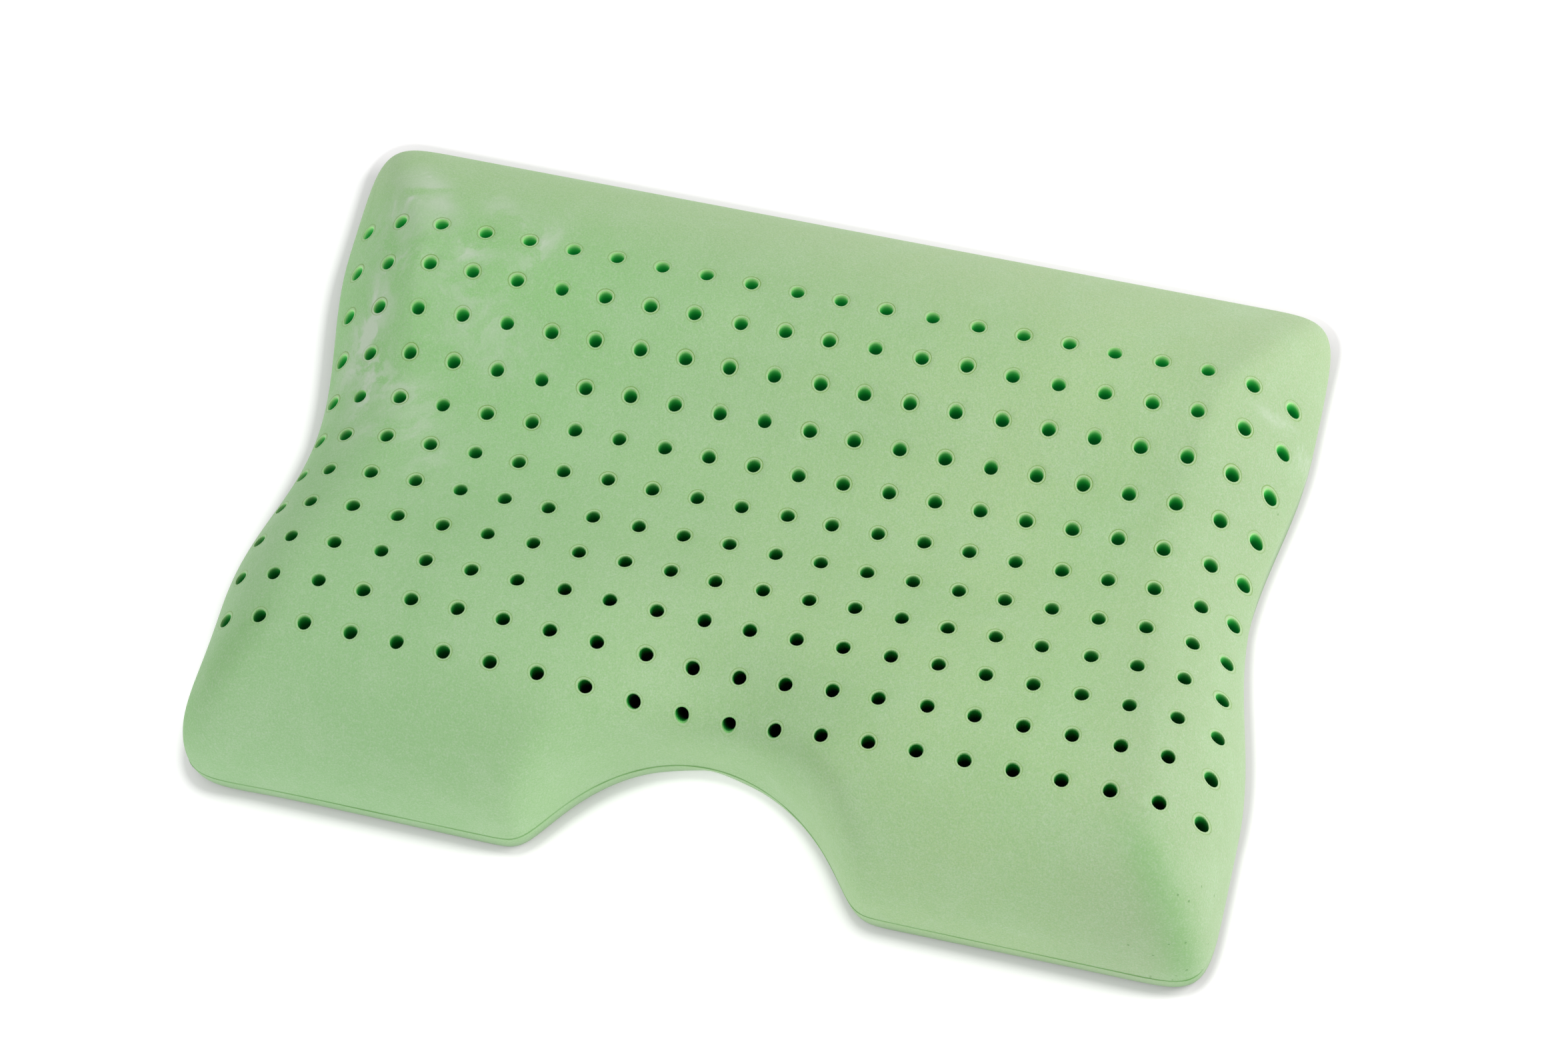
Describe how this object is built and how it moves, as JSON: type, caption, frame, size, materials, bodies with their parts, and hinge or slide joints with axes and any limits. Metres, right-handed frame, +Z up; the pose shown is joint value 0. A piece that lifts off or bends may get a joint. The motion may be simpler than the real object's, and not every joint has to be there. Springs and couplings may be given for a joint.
{
  "type": "moulded latex foam contour pillow",
  "caption": "Bare moulded latex foam contour pillow with a high neck lobe, head valley, lower rear lobe, rounded neck notch, drawn-in ends and vertical vent holes.",
  "frame": {"origin": "on the flat base, under the middle of the pillow's box", "axes": "+X along the pillow's length, +Y from the notched neck edge to the rear edge, +Z up from the base to the lobes"},
  "size_m": [0.6, 0.416, 0.12],
  "materials": {
    "latex_foam": "pale green moulded latex foam, matte fine-grained skin, faintly cloudy colour"
  },
  "bodies": {
    "root": {"foam_pillow": "latex_foam"}
  },
  "joints": []
}
